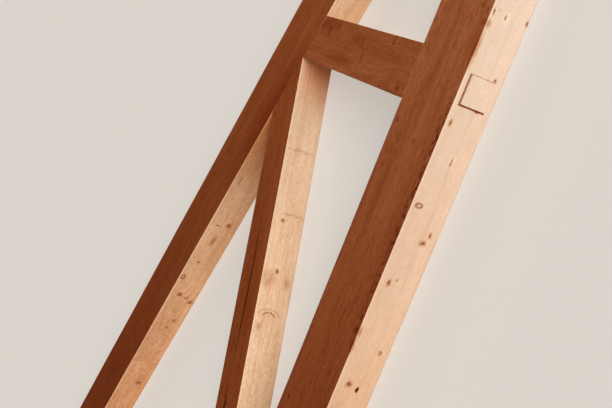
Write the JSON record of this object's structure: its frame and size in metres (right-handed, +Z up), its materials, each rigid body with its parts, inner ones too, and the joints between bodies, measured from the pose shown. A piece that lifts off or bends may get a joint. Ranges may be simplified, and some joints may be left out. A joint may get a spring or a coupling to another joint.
{
  "type": "wooden roof truss",
  "caption": "King-post roof truss of squared softwood with struts, outer posts and cover blocks under the tie beam, lying on its side.",
  "frame": {"origin": "middle of the truss's outline, on the floor that it lies on", "axes": "+X along the tie beam, +Y from the tie beam to the ridge, +Z up through the timbers' thickness"},
  "size_m": [9.9948, 1.9928, 0.12],
  "materials": {
    "softwood": "planed and clear coated, satin"
  },
  "bodies": {
    "root": {"tie_beam": "softwood", "rafter_right": "softwood", "rafter_left": "softwood", "king_post": "softwood", "outer_post_right": "softwood", "outer_post_left": "softwood", "strut_right": "softwood", "strut_left": "softwood", "cover_block_right": "softwood", "cover_block_middle": "softwood", "cover_block_left": "softwood"}
  },
  "joints": []
}
